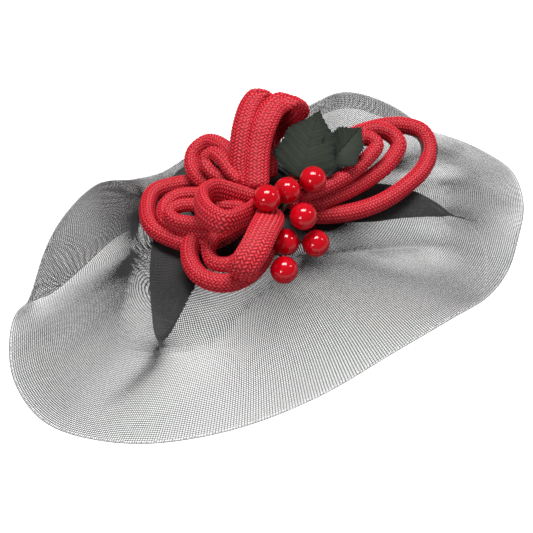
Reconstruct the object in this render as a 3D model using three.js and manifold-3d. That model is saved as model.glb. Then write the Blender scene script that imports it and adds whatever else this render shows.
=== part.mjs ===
// Fascinator headpiece: a fluted crin brim on a small round base, trimmed with loops of
// tubular braid, berries and leaves, and held in the hair by a sprung clip under the base.
// Millimetres, +Z up. The origin is the centre of the base's rim plane, where it sits on the
// head; +X runs along the brim's long axis and -Y is the side with the wide front lobe.
import * as THREE from "three";
import { ParametricGeometry } from "three/addons/geometries/ParametricGeometry.js";
import { mergeVertices } from "three/addons/utils/BufferGeometryUtils.js";
import Module from "manifold-3d";

const wasm = await Module();
wasm.setup();

// ---------------------------------------------------------------- driving dimensions
const GAP = 0.3; // clearance between touching pieces
const RIM_RADIUS = 42; // the base's rim
const DOME = 5; // how far the base rises from rim to crown
const LINING_THICK = 0.8;
const SHELL_THICK = 2;
const BINDING_RADIUS = 1.6; // round section of the rim's binding
const GATHER_RADIUS = 29.5; // ring that holds the brim's gathered edge down
const GATHER_SECTION = 1.3;
const PAD_RADIUS = 16;
const PAD_THICK = 1.5;
const PAD_Y = -11; // the flower sits towards the front of the base
const BRIM_HALF_THICK = 0.5;
const BRIM_INNER_RADIUS = 32;
const BRIM_SEAT = 6.8; // height of the gathered edge
const BRIM_LAP = 3; // how far the brim lies on past the rim before it rises
const BRIM_DIP = 0.4; // how much lower it lies there
const BERRY_RADIUS = 7.3;
const WIRE_RADIUS = 0.55;
const STEM = { x: 5, y: -37, radius: 4, top: 21, spray: 2.6 }; // spray: where its wires rise

const RED = 0xc4162a;
const BLACK = 0x0c0c0d;
const COLOURS = {
  crin: [0x1a1a1c, 0.6, 0],
  felt: [BLACK, 0.95, 0],
  satin: [0x101012, 0.5, 0],
  braid: [RED, 0.65, 0],
  berry: [0xb00814, 0.12, 0],
  wire: [0x6a1216, 0.5, 0],
  leaf: [0x24382a, 0.8, 0],
  tape: [0x1c3a24, 0.8, 0],
  steel: [0x8d8f94, 0.3, 0.9],
};

// ---------------------------------------------------------------- solids and meshes
const fascinator = new THREE.Group();

function material(finish) {
  const [color, roughness, metalness] = COLOURS[finish];
  return new THREE.MeshStandardMaterial({ color, roughness, metalness });
}

function addPiece(name, geometry, finish, parent = fascinator) {
  const mesh = new THREE.Mesh(geometry, material(finish));
  mesh.name = name;
  parent.add(mesh);
  return mesh;
}

function solidOf(geometry) {
  const bare = geometry.clone();
  for (const key of ["normal", "uv"]) bare.deleteAttribute(key);
  const merged = mergeVertices(bare, 1e-3);
  return new wasm.Manifold(
    new wasm.Mesh({
      numProp: 3,
      vertProperties: merged.attributes.position.array,
      triVerts: new Uint32Array(merged.index.array),
    }),
  );
}

function geometryOf(solid) {
  const made = solid.getMesh();
  return new THREE.BufferGeometry()
    .setAttribute("position", new THREE.BufferAttribute(made.vertProperties, 3))
    .setIndex(new THREE.BufferAttribute(made.triVerts, 1));
}

function largestBody(solid) {
  const bodies = solid.decompose();
  return bodies.reduce((a, b) => (b.volume() > a.volume() ? b : a));
}

// A solid cut clear of the obstacles it would press into; only its main body is kept.
function clearOf(solid, obstacles) {
  const cut = obstacles.reduce((rest, other) => rest.subtract(other), solid);
  return largestBody(cut);
}

// ---------------------------------------------------------------- base
// Height of a domed surface above its rim plane at a radius.
const domeHeight = (radius) => DOME * (1 - (radius / RIM_RADIUS) ** 2);

function domedShell(underside, thickness, radius) {
  const steps = 4;
  const profile = [];
  for (let i = 0; i <= steps; i++) {
    const r = (radius * i) / steps;
    profile.push(new THREE.Vector2(r, underside + domeHeight(r)));
  }
  for (let i = steps; i >= 0; i--) {
    const r = (radius * i) / steps;
    profile.push(new THREE.Vector2(r, underside + thickness + domeHeight(r)));
  }
  return new THREE.LatheGeometry(profile, 32).rotateX(Math.PI / 2);
}

function ring(radius, section, height, around = 36, sides = 6) {
  return new THREE.TorusGeometry(radius, section, sides, around).translate(0, 0, height);
}

const SHELL_UNDERSIDE = LINING_THICK + GAP;
const SHELL_TOP = SHELL_UNDERSIDE + SHELL_THICK;
const crownHeight = SHELL_TOP + DOME;

function buildBase() {
  addPiece("base_lining", domedShell(0, LINING_THICK, RIM_RADIUS - 1), "satin");
  addPiece("base_shell", domedShell(SHELL_UNDERSIDE, SHELL_THICK, RIM_RADIUS), "felt");
  const bindingAt = RIM_RADIUS + GAP + BINDING_RADIUS;
  addPiece("base_binding", ring(bindingAt, BINDING_RADIUS, BINDING_RADIUS), "satin");
  const seat = SHELL_TOP + domeHeight(GATHER_RADIUS + GATHER_SECTION);
  const gatherHeight = seat + 2 * GAP + GATHER_SECTION;
  addPiece("gather_band", ring(GATHER_RADIUS, GATHER_SECTION, gatherHeight), "satin");
  const pad = new THREE.CylinderGeometry(PAD_RADIUS, PAD_RADIUS, PAD_THICK, 32);
  pad.rotateX(Math.PI / 2).translate(0, PAD_Y, crownHeight + GAP + PAD_THICK / 2);
  addPiece("trim_pad", pad, "felt");
}

// ---------------------------------------------------------------- crin brim
// Stations round the brim, from the right end anticlockwise seen from above: the shoulder
// (where the sheet crests) and the free edge. At the rear left and rear right the sheet
// rolls over, so the edge there lies below the shoulder.
const BRIM_STATIONS = [
  { shoulder: [119, -51, 6], edge: [148, -54, 0] },
  { shoulder: [121, -36, 12], edge: [152, -31, 4] },
  { shoulder: [113, -25, 20], edge: [142, -13, 8] },
  { shoulder: [106, -12, 26], edge: [125, 0, 14] },
  { shoulder: [96, 18, 30], edge: [104, 26, 10] },
  { shoulder: [75, 37, 32], edge: [82, 48, 10] },
  { shoulder: [51, 39, 26], edge: [55, 50, 4] },
  { shoulder: [15, 47, 4], edge: [16, 51, -12] },
  { shoulder: [-13, 47, 4], edge: [-14, 51, -12] },
  { shoulder: [-38, 34, 7], edge: [-40, 33, -9] },
  { shoulder: [-60, 15, 24], edge: [-58, 14, -8] },
  { shoulder: [-82, 10, 31], edge: [-76, 6, -8] },
  { shoulder: [-105, -7, 30], edge: [-98, -13, -4] },
  { shoulder: [-121, -25, 22], edge: [-119, -30, 0] },
  { shoulder: [-129, -44, 10], edge: [-140, -40, 4] },
  { shoulder: [-125, -56, 3], edge: [-150, -57, -2] },
  { shoulder: [-128, -77, -1], edge: [-153, -82, -6] },
  { shoulder: [-122, -97, -4], edge: [-145, -109, -8] },
  { shoulder: [-104, -109, -6], edge: [-124, -127, -10] },
  { shoulder: [-79, -117, -5], edge: [-94, -140, -10] },
  { shoulder: [-44, -122, -2], edge: [-54, -146, -8] },
  { shoulder: [-8, -118, 1], edge: [-10, -142, -6] },
  { shoulder: [30, -109, 3], edge: [37, -129, -4] },
  { shoulder: [61, -100, 4], edge: [74, -119, -2] },
  { shoulder: [83, -93, 3], edge: [97, -113, 0] },
  { shoulder: [99, -80, 1], edge: [116, -99, 0] },
  { shoulder: [112, -65, 2], edge: [132, -79, 0] },
];
const STATIONS = BRIM_STATIONS.length;
// The two pleats, where the front lobe lies over its neighbours: the station of the pleat
// at the base and at its tip, how wide it is in stations, and how far out its tip lies.
const PLEATS = [
  { baseAt: 14.8, tipAt: 18.2, baseWidth: 4.0, tipWidth: 1.1, tip: 0.63, side: 1 },
  { baseAt: 28.6, tipAt: 26.4, baseWidth: 3.6, tipWidth: 1.0, tip: 0.7, side: -1 },
];
const PLEAT_FOLD = 2.4; // how strongly the sheet doubles back at the base
const PLEAT_STACK = 5; // height between the lowest and the highest layer

const hoop = (key) =>
  new THREE.CatmullRomCurve3(
    BRIM_STATIONS.map((s) => new THREE.Vector3(...s[key])),
    true,
    "catmullrom",
    0.5,
  );
const shoulderHoop = hoop("shoulder");
const edgeHoop = hoop("edge");

const wrapped = (turns) => turns - Math.floor(turns);

// A point of the smooth brim, before pleating: turn runs 0..1 round it, reach 0..1 outwards.
function smoothBrim(turn, reach) {
  const shoulder = shoulderHoop.getPoint(wrapped(turn));
  const edge = edgeHoop.getPoint(wrapped(turn));
  const away = new THREE.Vector3(shoulder.x, shoulder.y, 0);
  const far = away.length();
  away.normalize();
  const rimRadius = Math.min(RIM_RADIUS + BRIM_LAP, (BRIM_INNER_RADIUS + far) / 2);
  const inner = away.clone().multiplyScalar(BRIM_INNER_RADIUS).setZ(BRIM_SEAT);
  const rim = away.clone().multiplyScalar(rimRadius).setZ(BRIM_SEAT - BRIM_DIP);
  const middle = rim.clone().lerp(shoulder, 0.5);
  const across = new THREE.CatmullRomCurve3(
    [inner, rim, middle, shoulder, edge],
    false,
    "catmullrom",
    0.5,
  );
  return across.getPoint(reach);
}

const smoothstep = (x) => THREE.MathUtils.smoothstep(x, 0, 1);

function brimPoint(turn, reach) {
  let shift = 0;
  let lift = 0;
  for (const pleat of PLEATS) {
    const along = Math.min(reach / pleat.tip, 1);
    const centre = THREE.MathUtils.lerp(pleat.baseAt, pleat.tipAt, along);
    let from = turn * STATIONS - centre;
    from -= STATIONS * Math.round(from / STATIONS);
    const width = THREE.MathUtils.lerp(pleat.baseWidth, pleat.tipWidth, along);
    const x = from / width;
    const beyond = Math.max(reach - pleat.tip, 0) / (1 - pleat.tip);
    const raised = 1 - smoothstep((reach - pleat.tip * 0.8) / (1 - pleat.tip * 0.8));
    // over 1 the sheet doubles back on itself, and under 1 it only crowds together
    const crowding = (1 + PLEAT_FOLD * (1 - along ** 3)) * (1 - smoothstep(beyond));
    shift -= width * crowding * x * Math.exp(-x * x);
    const layer = 0.5 + 0.5 * Math.tanh(2.2 * x * pleat.side);
    lift += PLEAT_STACK * raised * layer * Math.exp(-((x / 1.5) ** 2));
  }
  const point = smoothBrim(turn + shift / STATIONS, reach);
  point.z += lift;
  return point;
}

function brimNormal(turn, reach) {
  const step = 0.012;
  const out = Math.min(reach + 3 * step, 1);
  const back = Math.max(reach - 3 * step, 0);
  const round = brimPoint(turn + step, reach).sub(brimPoint(turn - step, reach));
  const outwards = brimPoint(turn, out).sub(brimPoint(turn, back));
  return outwards.cross(round).normalize();
}

// The sheet is one closed skin: out along its underside, and back along its top.
function brimGeometry(halfThick) {
  const skin = (round, section, target) => {
    const turn = wrapped(round);
    const side = section % 1;
    const reach = side <= 0.5 ? side * 2 : 2 - side * 2;
    const offset = side === 0 || side === 0.5 ? 0 : side < 0.5 ? -halfThick : halfThick;
    const p = brimPoint(turn, reach);
    target.copy(p.addScaledVector(brimNormal(turn, reach), offset));
  };
  return new ParametricGeometry(skin, STATIONS * 4, 16);
}

// ---------------------------------------------------------------- braid loops
// A path that keeps a braid's flat side facing along the loop's own plane.
class BraidPath extends THREE.CatmullRomCurve3 {
  computeFrenetFrames(segments) {
    const middle = this.points
      .reduce((sum, p) => sum.add(p), new THREE.Vector3())
      .divideScalar(this.points.length);
    const facing = new THREE.Vector3();
    this.points.forEach((p, i) => {
      const next = this.points[(i + 1) % this.points.length];
      facing.add(p.clone().sub(middle).cross(next.clone().sub(middle)));
    });
    facing.normalize();
    const tangents = [];
    const normals = [];
    const binormals = [];
    for (let i = 0; i <= segments; i++) {
      const tangent = this.getTangentAt(i / segments);
      const binormal = facing.clone().addScaledVector(tangent, -facing.dot(tangent));
      binormal.normalize();
      tangents.push(tangent);
      binormals.push(binormal);
      normals.push(binormal.clone().cross(tangent));
    }
    return { tangents, normals, binormals };
  }
}

// Each loop's strand, from the centre out, round its bend and back to the centre.
const LOOPS = [
  ["left_outer", 10, 8.9, [[-3, -16, 19], [-13, -2, 19], [-24, 7, 18], [-39, 11, 17],
    [-50, 9, 17], [-57, -2, 17], [-59, -17, 17], [-52, -29, 17], [-41, -38, 17],
    [-26, -39, 18], [-10, -31, 19]]],
  ["left_middle", 8.1, 7.8, [[-6, -25, 26], [-18, -14, 25], [-30, -8, 24], [-41, -6, 24],
    [-49, -10, 23], [-52, -19, 23], [-46, -29, 23], [-35, -37, 23], [-17, -36, 24]]],
  ["left_inner", 7.6, 7, [[-12, -37, 33], [-24, -28, 31], [-35, -22, 30], [-44, -20, 30],
    [-50, -22, 29], [-49, -28, 29], [-38, -35, 29], [-27, -38, 29], [-16, -39, 30]]],
  ["upper_left_outer", 11.1, 9.3, [[-4, -21, 25], [-16, -10, 24], [-24, 0, 25], [-26, 11, 27],
    [-22, 19, 30], [-14, 20, 34], [-9, 11, 37], [-6, -1, 36], [-5, -14, 33], [-2, -22, 28]]],
  ["upper_left_inner", 7.9, 6.9, [[-5, -24, 33], [-13, -13, 33], [-20, -4, 35], [-21, 3, 38],
    [-17, 3, 41], [-14, -5, 42], [-12, -14, 40], [-9, -22, 38]]],
  ["centre_left", 13.8, 6.8, [[-3, -32, 30], [-14, -27, 34], [-26, -25, 40], [-35, -32, 44],
    [-37, -46, 46], [-31, -56, 46], [-18, -51, 42], [-8, -41, 36]]],
  ["lower_outer", 10.4, 9.5, [[-8, -27, 20], [-22, -26, 20], [-36, -31, 20], [-44, -39, 19],
    [-48, -51, 18], [-46, -62, 17], [-38, -70, 17], [-27, -71, 17], [-16, -66, 18],
    [-7, -56, 19], [-4, -45, 22]]],
  ["lower_inner", 8.5, 7.4, [[-12, -40, 27], [-24, -43, 26], [-33, -45, 25], [-38, -51, 24],
    [-38, -60, 23], [-31, -65, 24], [-22, -62, 25], [-13, -54, 27]]],
  ["lower_right", 15.4, 6.4, [[-3, -38, 32], [-4, -53, 40], [-13, -67, 44], [-21, -76, 42],
    [-28, -80, 36], [-29, -78, 29], [-22, -71, 26], [-14, -63, 26], [-8, -53, 27]]],
  ["top_left", 12.5, 7, [[-7, -24, 34], [-8, -15, 41], [-5, -8, 50], [0, 0, 59], [7, 8, 65],
    [13, 11, 67], [17, 9, 61], [17, 9, 47], [13, 6, 33], [9, -2, 25], [4, -11, 21]]],
  ["top_right", 12.5, 7, [[-3, -29, 38], [0, -21, 45], [4, -13, 53], [10, -6, 61],
    [19, 1, 66], [27, 2, 67], [33, 1, 61], [35, 3, 48], [30, 5, 35], [21, 2, 27],
    [12, -7, 21]]],
  ["right_outer", 10, 9.1, [[19, -35, 18], [31, -40, 17], [48, -43, 17], [66, -41, 17],
    [84, -34, 18], [98, -25, 19], [106, -14, 22], [105, -5, 27], [95, 1, 30], [79, 3, 31],
    [61, 1, 30], [40, -8, 27], [22, -17, 23], [10, -20, 19]]],
  ["right_middle", 10, 8.9, [[13, -32, 26], [26, -37, 25], [44, -35, 25], [63, -29, 25],
    [78, -22, 27], [86, -15, 31], [84, -8, 34], [75, -4, 37], [60, -8, 37], [41, -16, 34],
    [23, -23, 29], [10, -25, 24]]],
  ["right_inner", 9.1, 8.1, [[17, -38, 34], [31, -37, 34], [47, -33, 35], [62, -26, 37],
    [70, -20, 40], [66, -15, 42], [55, -17, 42], [41, -23, 39], [25, -28, 34]]],
];
const BRAID_QUARTER = 2; // straight sides to a quarter of a braid's section
const BRAID_STEP = 5; // length of braid per step along a strand

const strand = (points) =>
  new BraidPath(points.map((p) => new THREE.Vector3(...p)), false, "centripetal");

function braidGeometry(points, width, thickness, grow = 0) {
  const path = strand(points);
  const section = new THREE.Shape();
  const half = (size) => size / 2 + grow;
  section.absellipse(0, 0, half(thickness), half(width), 0, Math.PI * 2);
  return new THREE.ExtrudeGeometry(section, {
    curveSegments: 2 * BRAID_QUARTER,
    steps: Math.round(path.getLength() / BRAID_STEP),
    extrudePath: path,
  });
}

// ---------------------------------------------------------------- berries and leaves
// Each berry's centre, and where its wire leaves the stem: the bearing round it and the
// height. Above the stem's top a wire rises out of it; below, it leaves through its side.
const BERRIES = [
  { place: [-5, -50.5, 50], bearing: -150, height: 22 },
  { place: [9, -43.5, 45], bearing: -45, height: 22 },
  { place: [25, -40, 45], bearing: 0, height: 22 },
  { place: [12, -60, 40], bearing: -98, height: 22 },
  { place: [1.5, -61.5, 26], bearing: -98, height: 18.5 },
  { place: [17, -66, 24], bearing: -67, height: 16 },
  { place: [-5, -77, 22], bearing: -106, height: 14.5 },
];

function tube(extrudePath, radius) {
  const section = new THREE.Shape();
  section.absarc(0, 0, radius, 0, Math.PI * 2);
  return new THREE.ExtrudeGeometry(section, { curveSegments: 3, steps: 7, extrudePath });
}

// A wire from the stem to just short of a berry or a leaf's base.
function wireCurve({ place, bearing, height }, stop) {
  const end = new THREE.Vector3(...place);
  const angle = THREE.MathUtils.degToRad(bearing);
  const rises = height > STEM.top;
  const spread = rises ? STEM.spray : STEM.radius + 2 * GAP + WIRE_RADIUS;
  const start = new THREE.Vector3(
    STEM.x + spread * Math.cos(angle),
    STEM.y + spread * Math.sin(angle),
    height,
  );
  const bend = start.clone().lerp(end, 0.5).setZ(rises ? (height + end.z) / 2 + 2 : height - 1);
  const arrive = end.clone().sub(bend).setLength(stop);
  return new THREE.QuadraticBezierCurve3(start, bend, end.clone().sub(arrive));
}

const LEAVES = [
  { name: "leaf_broad", place: [21, -30, 39], tip: [42, -5, 61], facing: [-0.35, -0.5, 0.8],
    width: 33, fold: 0.16, bearing: 95, height: 22 },
  { name: "leaf_side", place: [39, -28, 42], tip: [63, -15, 51], facing: [-0.2, -0.6, 0.75],
    width: 22, fold: 0.5, bearing: 45, height: 22 },
];
const LEAF_THICK = 0.8;
const LEAF_TEETH = 9; // teeth along each side

// Half of a serrated leaf, with its midrib along +Y from 0 to the leaf's length.
function halfLeaf(length, width, side) {
  const swell = (t) => (width / 2) * Math.sin(Math.PI * Math.min(t, 1) ** 0.72) ** 0.8;
  const outline = new THREE.Shape();
  outline.moveTo(-side * 0.4, 0);
  for (let i = 0; i < LEAF_TEETH; i++) {
    const point = (i + 0.8) / LEAF_TEETH;
    const notch = (i + 0.9) / LEAF_TEETH;
    outline.lineTo(side * Math.max(swell(point), 0.5), length * point);
    outline.lineTo(side * Math.max(swell(notch) - 0.7, 0.3), length * notch);
  }
  outline.lineTo(-side * 0.4, length);
  outline.closePath();
  return new THREE.ExtrudeGeometry(outline, { depth: LEAF_THICK, bevelEnabled: false });
}

function leafMesh({ name, place, tip, facing, width, fold }) {
  const start = new THREE.Vector3(...place);
  const along = new THREE.Vector3(...tip).sub(start);
  const length = along.length();
  along.normalize();
  const across = along.clone().cross(new THREE.Vector3(...facing)).normalize();
  const up = across.clone().cross(along);
  const halves = [-1, 1].map((side) =>
    solidOf(halfLeaf(length, width, side).rotateY(-side * fold)),
  );
  const mesh = addPiece(name, geometryOf(halves[0].add(halves[1])), "leaf");
  mesh.quaternion.setFromRotationMatrix(new THREE.Matrix4().makeBasis(across, along, up));
  mesh.position.copy(start);
  return mesh;
}

// ---------------------------------------------------------------- hair clip
// A beak clip: a fixed plate sewn to the lining, and a jaw on a pin that a coiled spring
// holds shut. Pressing the jaw's tail to the plate opens its nose.
const CLIP = {
  nose: -19,
  tail: 19,
  width: 9,
  plate: 1,
  patchTop: 3.3,
  patchThick: 0.8,
  pinX: 8,
  pinDrop: 2.8, // from the plate's underside to the pin's axis
  pinRadius: 0.8,
  boreClear: 0.06, // round the pin
  lugReach: 2.4, // of both plates' ears round the pin
  earThick: 1,
};
const PATCH_UNDER = CLIP.patchTop - CLIP.patchThick;
const PLATE_UNDER = PATCH_UNDER - GAP - CLIP.plate;
const PIN_Z = PLATE_UNDER - CLIP.pinDrop;
const JAW_NOSE_TOP = PLATE_UNDER - 2 * GAP;
const JAW_SLOPE = Math.atan2(JAW_NOSE_TOP - (PIN_Z - CLIP.pinDrop), CLIP.pinX - CLIP.nose);

function box(x0, x1, y0, y1, z0, z1) {
  const shape = new THREE.BoxGeometry(x1 - x0, y1 - y0, z1 - z0);
  return shape.translate((x0 + x1) / 2, (y0 + y1) / 2, (z0 + z1) / 2);
}

const ROD_SIDES = 16;
// A rod along Y through the pin's axis, from y0 to y1.
function rodAtPin(radius, y0, y1) {
  const rod = new THREE.CylinderGeometry(radius, radius, y1 - y0, ROD_SIDES);
  return rod.translate(CLIP.pinX, (y0 + y1) / 2, PIN_Z);
}

const joined = (...geometries) =>
  geometries.map(solidOf).reduce((sum, solid) => sum.add(solid));

// One ear round the pin, from y0 to y1, and the web that joins it to a plate.
function ear(y0, y1, webLow, webHigh) {
  const web = box(CLIP.pinX - CLIP.lugReach, CLIP.pinX + CLIP.lugReach, y0, y1, webLow, webHigh);
  return joined(rodAtPin(CLIP.lugReach, y0, y1), web);
}

function buildClip() {
  const half = CLIP.width / 2;
  const inner = half - CLIP.earThick;
  const patch = box(CLIP.nose - 1, CLIP.tail + 1, -half - 1, half + 1, PATCH_UNDER, CLIP.patchTop);
  addPiece("clip_patch", patch, "felt");

  const bore = (radius) => solidOf(rodAtPin(radius, -half - 1, half + 1));
  const top = box(CLIP.nose, CLIP.tail, -half, half, PLATE_UNDER, PLATE_UNDER + CLIP.plate);
  const fixed = solidOf(top)
    .add(ear(inner, half, PIN_Z, PLATE_UNDER + CLIP.plate / 2))
    .add(ear(-half, -inner, PIN_Z, PLATE_UNDER + CLIP.plate / 2))
    .subtract(bore(CLIP.pinRadius + CLIP.boreClear));
  addPiece("clip_plate", geometryOf(fixed), "steel");

  const jawHalf = inner - GAP;
  const jawInner = jawHalf - CLIP.earThick;
  const length = CLIP.tail + 1 - CLIP.nose;
  const blade = box(0, length, -jawHalf, jawHalf, -CLIP.plate, 0);
  blade.rotateY(JAW_SLOPE).translate(CLIP.nose, 0, JAW_NOSE_TOP);
  const webLow = PIN_Z - CLIP.pinDrop - 0.2;
  const jaw = solidOf(blade)
    .add(ear(jawInner, jawHalf, webLow, PIN_Z))
    .add(ear(-jawHalf, -jawInner, webLow, PIN_Z))
    .subtract(bore(CLIP.pinRadius + CLIP.boreClear));
  addPiece("clip_jaw", geometryOf(jaw), "steel");

  addPiece("clip_pin", rodAtPin(CLIP.pinRadius, -half - 0.5, half + 0.5), "steel");

  const coilHalf = 1.8;
  const wire = 0.7;
  const coilRadius = 1.9;
  const leg = box(CLIP.pinX, CLIP.pinX + 9, coilHalf - wire, coilHalf, PIN_Z + coilRadius - wire,
    PIN_Z + coilRadius);
  const coil = solidOf(rodAtPin(coilRadius, -coilHalf, coilHalf))
    .subtract(solidOf(rodAtPin(CLIP.pinRadius + 0.25, -coilHalf - 1, coilHalf + 1)))
    .add(solidOf(leg));
  addPiece("clip_spring", geometryOf(coil), "steel");
}

// ---------------------------------------------------------------- assembly
buildBase();
buildClip();
addPiece("crin_brim", brimGeometry(BRIM_HALF_THICK), "crin");

const stemLow = crownHeight + PAD_THICK + 1;
const stemLong = STEM.top - stemLow;
const stem = (grow) =>
  new THREE.CylinderGeometry(STEM.radius + grow, STEM.radius + grow, stemLong + 2 * grow, 16)
    .rotateX(Math.PI / 2)
    .translate(STEM.x, STEM.y, stemLow + stemLong / 2);
addPiece("stem_binding", stem(0), "tape");

// Everything the soft braid presses against, a little larger than it is.
const obstacles = [solidOf(brimGeometry(BRIM_HALF_THICK + GAP)), solidOf(stem(GAP))];

BERRIES.forEach((berry, index) => {
  const ball = (radius) => new THREE.SphereGeometry(radius, 12, 8).translate(...berry.place);
  addPiece("berry_" + (index + 1), ball(BERRY_RADIUS), "berry");
  const curve = wireCurve(berry, BERRY_RADIUS + GAP);
  addPiece("berry_wire_" + (index + 1), tube(curve, WIRE_RADIUS), "wire");
  obstacles.push(solidOf(ball(BERRY_RADIUS + GAP)), solidOf(tube(curve, WIRE_RADIUS + GAP)));
});

for (const leaf of LEAVES) {
  leafMesh(leaf);
  const curve = wireCurve(leaf, 1.2);
  addPiece(leaf.name + "_stem", tube(curve, WIRE_RADIUS), "tape");
  obstacles.push(solidOf(tube(curve, WIRE_RADIUS + GAP)));
}

const padTop = box(-PAD_RADIUS, PAD_RADIUS, PAD_Y - PAD_RADIUS, PAD_Y + PAD_RADIUS, 0, stemLow);
obstacles.push(solidOf(padTop));
for (const [name, width, thickness, points] of LOOPS) {
  const loop = clearOf(solidOf(braidGeometry(points, width, thickness)), obstacles);
  addPiece("loop_" + name, geometryOf(loop), "braid");
  obstacles.push(solidOf(braidGeometry(points, width, thickness, GAP)));
}

export default fascinator;
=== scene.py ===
# %% [markdown]
# # A fascinator headpiece
# A fascinator is a small dressy hat: a stiff round base, a see-through brim of crin (a stiff
# mesh braid), and a trim of looped cord, berries and cloth leaves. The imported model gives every
# piece's place and size. This lesson makes each piece again with the detail a maker would see.

import math
import bmesh
import bpy
import numpy as np
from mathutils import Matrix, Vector


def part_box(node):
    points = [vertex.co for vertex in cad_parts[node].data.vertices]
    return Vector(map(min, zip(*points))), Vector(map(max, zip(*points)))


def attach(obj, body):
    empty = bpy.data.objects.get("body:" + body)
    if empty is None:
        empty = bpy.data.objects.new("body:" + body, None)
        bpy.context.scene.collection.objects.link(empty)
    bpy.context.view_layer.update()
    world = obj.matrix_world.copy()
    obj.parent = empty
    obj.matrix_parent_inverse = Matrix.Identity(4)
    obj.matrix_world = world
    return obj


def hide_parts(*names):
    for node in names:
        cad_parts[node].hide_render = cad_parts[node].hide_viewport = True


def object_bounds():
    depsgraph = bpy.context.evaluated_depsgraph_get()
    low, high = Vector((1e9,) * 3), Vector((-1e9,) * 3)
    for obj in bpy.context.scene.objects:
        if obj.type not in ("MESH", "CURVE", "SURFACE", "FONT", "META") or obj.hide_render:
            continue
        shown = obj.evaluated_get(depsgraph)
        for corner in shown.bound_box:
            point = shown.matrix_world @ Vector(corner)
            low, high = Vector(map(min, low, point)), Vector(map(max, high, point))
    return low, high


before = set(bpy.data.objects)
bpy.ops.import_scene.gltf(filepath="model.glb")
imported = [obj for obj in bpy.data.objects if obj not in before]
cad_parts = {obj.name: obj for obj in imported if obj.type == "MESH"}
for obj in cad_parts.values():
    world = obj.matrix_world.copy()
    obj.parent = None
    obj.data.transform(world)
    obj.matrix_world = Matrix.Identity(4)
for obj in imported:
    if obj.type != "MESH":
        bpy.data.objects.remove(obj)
cad_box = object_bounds()
MM = 0.001
print("packed model:", [[round(x, 4) for x in corner] for corner in cad_box])

# %% [markdown]
# ## Camera
# A long lens far away keeps the brim from looking distorted. The camera looks down at 45
# degrees from the front and a little to the left, which shows the brim and the trim together.
# An object in Blender looks along its own -Z axis, so `to_track_quat` turns it at the target.

# %% Camera
camera_data = bpy.data.cameras.new("camera")
camera_data.lens = 110
camera_data.sensor_width = 36
camera_data.clip_end = 20
camera = bpy.data.objects.new("camera", camera_data)
bpy.context.collection.objects.link(camera)
camera.location = (-0.2191, -0.6383, 0.6253)
target = Vector((-0.0015, -0.0403, -0.0111))
camera.rotation_euler = (target - camera.location).to_track_quat("-Z", "Y").to_euler()
bpy.context.scene.camera = camera
print("camera is", round((target - camera.location).length, 3), "m from its target")

# %% [markdown]
# ## Floor and studio light
# A white sweep and soft boxes are the usual set for a product. The floor is a little brighter
# than white: it glows where it is looked at, as a light table does, so that it stays clean
# under the mesh, and it glows less towards the piece, so that the cords keep their shadows.
# Small bright boxes are what a glossy berry mirrors, so each one gives a highlight of its own
# shape.

# %% Floor
FLOOR_GAP = 0.004
floor_height = cad_box[0][2] - FLOOR_GAP
floor_bm = bmesh.new()
bmesh.ops.create_grid(floor_bm, x_segments=1, y_segments=1, size=6)
bmesh.ops.translate(floor_bm, vec=(0, 0, floor_height), verts=floor_bm.verts)
floor_mesh = bpy.data.meshes.new("floor")
floor_bm.to_mesh(floor_mesh)
floor_bm.free()
floor = bpy.data.objects.new("floor", floor_mesh)
bpy.context.collection.objects.link(floor)
floor_paint = bpy.data.materials.new("floor_white")
floor_paint.use_nodes = True
floor_skin = floor_paint.node_tree.nodes["Principled BSDF"]
floor_skin.inputs["Base Color"].default_value = (0.5, 0.5, 0.5, 1)
floor_skin.inputs["Emission Color"].default_value = (1, 1, 1, 1)
floor_links = floor_paint.node_tree.links
seen_ray = floor_paint.node_tree.nodes.new("ShaderNodeLightPath")
glow = floor_paint.node_tree.nodes.new("ShaderNodeMapRange")
glow.inputs["To Min"].default_value = 0.1
glow.inputs["To Max"].default_value = 0.85
floor_links.new(seen_ray.outputs["Is Camera Ray"], glow.inputs["Value"])
floor_links.new(glow.outputs["Result"], floor_skin.inputs["Emission Strength"])
floor_skin.inputs["Roughness"].default_value = 0.9
floor_skin.inputs["Specular IOR Level"].default_value = 0.1
floor_mesh.materials.append(floor_paint)
print("floor at", round(floor_height, 4))


# %% Lights
def softbox(name, place, aim, width, height, power):
    """A rectangular area light at place, turned to face aim."""
    light = bpy.data.lights.new(name, "AREA")
    light.shape = "RECTANGLE"
    light.size = width
    light.size_y = height
    light.energy = power
    box = bpy.data.objects.new(name, light)
    bpy.context.collection.objects.link(box)
    box.location = place
    box.rotation_euler = (Vector(aim) - Vector(place)).to_track_quat("-Z", "Y").to_euler()
    return box


flower = (0.0, -0.03, 0.03)
softbox("top_box", (0.05, 0.1, 1.5), flower, 0.9, 0.5, 26)
softbox("front_left_box", (-0.85, -0.75, 0.55), flower, 0.3, 0.3, 3.5)
softbox("right_box", (0.95, -0.35, 0.85), flower, 0.16, 0.3, 2.0)
world = bpy.data.worlds.new("studio")
bpy.context.scene.world = world
world.use_nodes = True
world.node_tree.nodes["Background"].inputs["Color"].default_value = (1, 1, 1, 1)
world.node_tree.nodes["Background"].inputs["Strength"].default_value = 0.16
bpy.context.scene.view_settings.view_transform = "Standard"

# %% [markdown]
# ## Tools for shaping and painting
# Most pieces here are a flat grid that is laid out by an operator and then moved as one array:
# rolled round a path it is a cord, bent by the brim's curves it is the brim. The grid keeps
# its UV map, so a pattern can follow the cloth. Two small helpers build shader nodes.


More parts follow.
